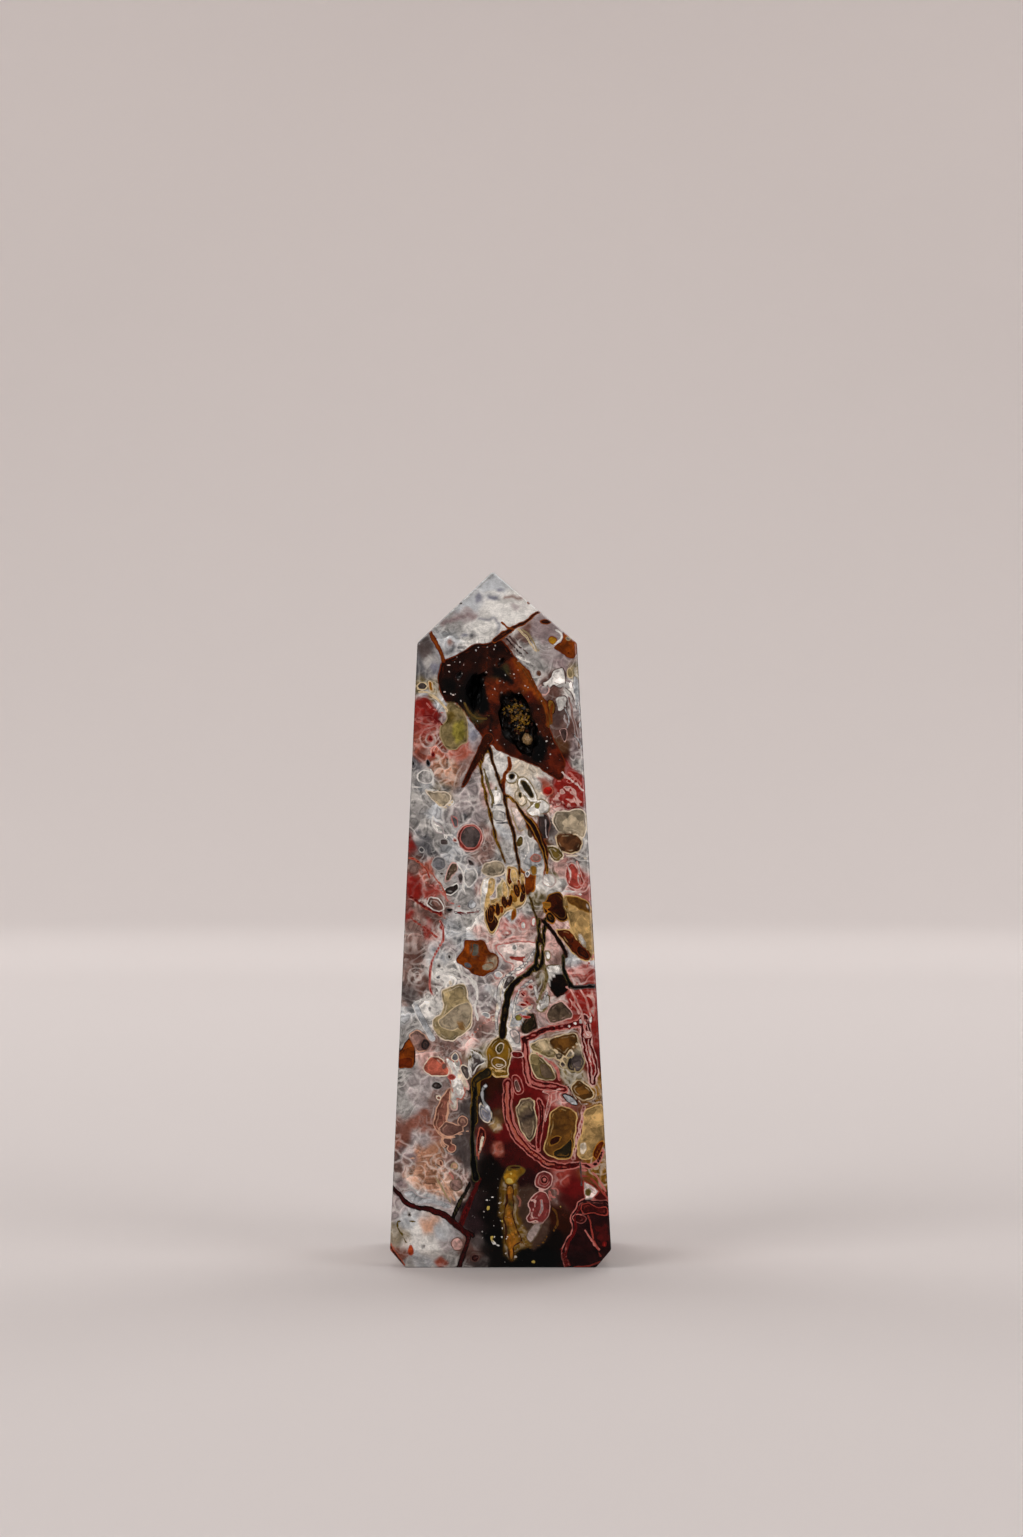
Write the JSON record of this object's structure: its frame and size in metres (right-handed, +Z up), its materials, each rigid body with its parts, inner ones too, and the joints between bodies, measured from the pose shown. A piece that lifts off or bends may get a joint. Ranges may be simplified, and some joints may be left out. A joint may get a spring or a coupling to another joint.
{
  "type": "crazy lace agate tower",
  "caption": "Polished four-sided crazy lace agate tower with a low point, a chamfered flat foot and a small druzy vug near the top of one face.",
  "frame": {"origin": "middle of the foot, on the surface that the tower stands on", "axes": "+Z up to the point; -Y out of the face with the vug, which the picture shows; +X to the right as that face is seen"},
  "size_m": [0.0314, 0.0314, 0.1001],
  "materials": {
    "polished_agate": "polished",
    "golden_druse": "satin"
  },
  "bodies": {
    "root": {"agate_tower": "polished_agate", "vug_druse": "golden_druse"}
  },
  "joints": []
}
